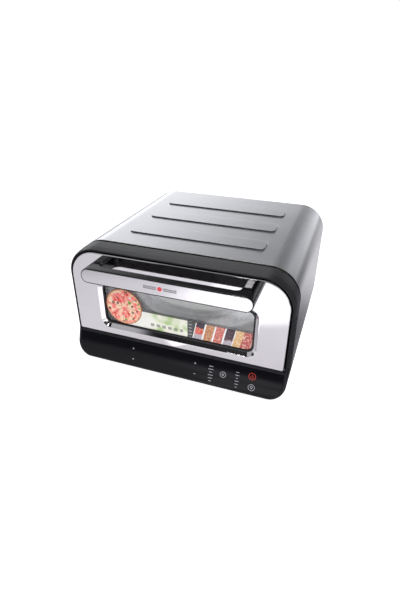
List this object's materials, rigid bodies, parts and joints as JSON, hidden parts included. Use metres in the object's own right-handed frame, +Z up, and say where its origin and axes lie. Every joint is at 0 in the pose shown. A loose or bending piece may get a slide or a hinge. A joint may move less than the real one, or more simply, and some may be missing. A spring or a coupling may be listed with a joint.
{
  "type": "countertop pizza oven",
  "caption": "Low electric countertop pizza oven: rounded grey shell with a ribbed top, black leaning touch panel, drop-down stainless door with a wide window and bar handle.",
  "frame": {"origin": "on the floor under the middle of the overall box, handle and cord gland counted", "axes": "+Z up, -Y out of the door towards the user, +X to the right as seen from the front"},
  "size_m": [0.46, 0.489, 0.2655],
  "materials": {
    "polished_stainless": "polished, faintly brushed",
    "satin_grey_enamel": "satin baked paint",
    "black_moulding": "satin moulded",
    "gloss_black_moulding": "gloss",
    "black_panel_glass": "gloss, opaque black",
    "clear_tempered_glass": "clear",
    "black_silicone": "matt",
    "foot_rubber": "matt",
    "aluminised_steel": "dull aluminised",
    "galvanised_steel": "galvanised",
    "mineral_wool": "fibrous",
    "heater_alloy": "oxidised",
    "cordierite": "unglazed ceramic, opaque",
    "circuit_board_green": "solder mask",
    "component_plastic": "moulded",
    "copper_winding": "enamelled wire",
    "cream_nylon": "moulded",
    "ceramic_white": "glazed ceramic, opaque",
    "spring_steel": "bright",
    "printed_label": "printed film"
  },
  "bodies": {
    "oven_body": {"base_plate": "galvanised_steel", "board_transformer": "copper_winding", "cavity_front_frame": "aluminised_steel", "cavity_liner": "aluminised_steel", "control_board": "circuit_board_green", "control_glass": "black_panel_glass", "control_panel_housing": "black_moulding", "cord_gland": "black_moulding", "display_module": "component_plastic", "fan_housing": "black_moulding", "fan_motor": "spring_steel", "foot_front_left": "foot_rubber", "foot_front_right": "foot_rubber", "foot_rear_left": "foot_rubber", "foot_rear_right": "foot_rubber", "front_bezel": "black_moulding", "hinge_pin_left": "spring_steel", "hinge_pin_right": "spring_steel", "insulation_blanket": "mineral_wool", "lamp_bulb": "clear_tempered_glass", "lamp_cover": "clear_tempered_glass", "lamp_socket": "ceramic_white", "lower_heater": "heater_alloy", "lower_heater_clip": "aluminised_steel", "lower_probe": "spring_steel", "lower_relay": "component_plastic", "outer_shell": "satin_grey_enamel", "power_board": "circuit_board_green", "rear_panel": "galvanised_steel", "stone_rack": "aluminised_steel", "terminal_block": "cream_nylon", "thermal_cutout": "component_plastic", "upper_heater": "heater_alloy", "upper_heater_clip_left": "aluminised_steel", "upper_heater_clip_right": "aluminised_steel", "upper_probe": "spring_steel", "upper_relay": "component_plastic"},
    "door": {"door_outer_skin": "polished_stainless", "window_gasket": "black_silicone", "door_glass_outer": "clear_tempered_glass", "door_glass_inner": "clear_tempered_glass", "glazing_spacer": "black_moulding", "door_inner_panel": "aluminised_steel", "door_seal": "black_silicone", "door_handle": "gloss_black_moulding", "handle_plate": "polished_stainless", "handle_screw_left": "spring_steel", "handle_screw_right": "spring_steel", "window_plug_lower_left": "black_silicone", "window_plug_lower_right": "black_silicone", "window_plug_upper_left": "black_silicone", "window_plug_upper_right": "black_silicone", "label_round": "printed_label", "label_strip": "printed_label", "hinge_bush_left": "cream_nylon", "hinge_bush_right": "cream_nylon", "door_spring_left": "spring_steel", "door_spring_right": "spring_steel"},
    "stone": {"pizza_stone": "cordierite"},
    "fan": {"fan_rotor": "black_moulding"}
  },
  "joints": [
    {"name": "door_hinge", "type": "hinge", "parent": "oven_body", "child": "door", "pos_m": [0, -0.1885, 0.0756], "axis": [1, 0, 0], "range_deg": [0, 90], "stiffness_Nm_per_rad": 0.6, "springref_deg": -17.19},
    {"name": "stone_lift", "type": "slide", "parent": "oven_body", "child": "stone", "axis": [0, 0, 1], "range_m": [0, 0.015]},
    {"name": "fan_spin", "type": "hinge", "parent": "oven_body", "child": "fan", "pos_m": [-0.125, 0.2005, 0.0435], "axis": [0, 1, 0], "continuous": true}
  ]
}
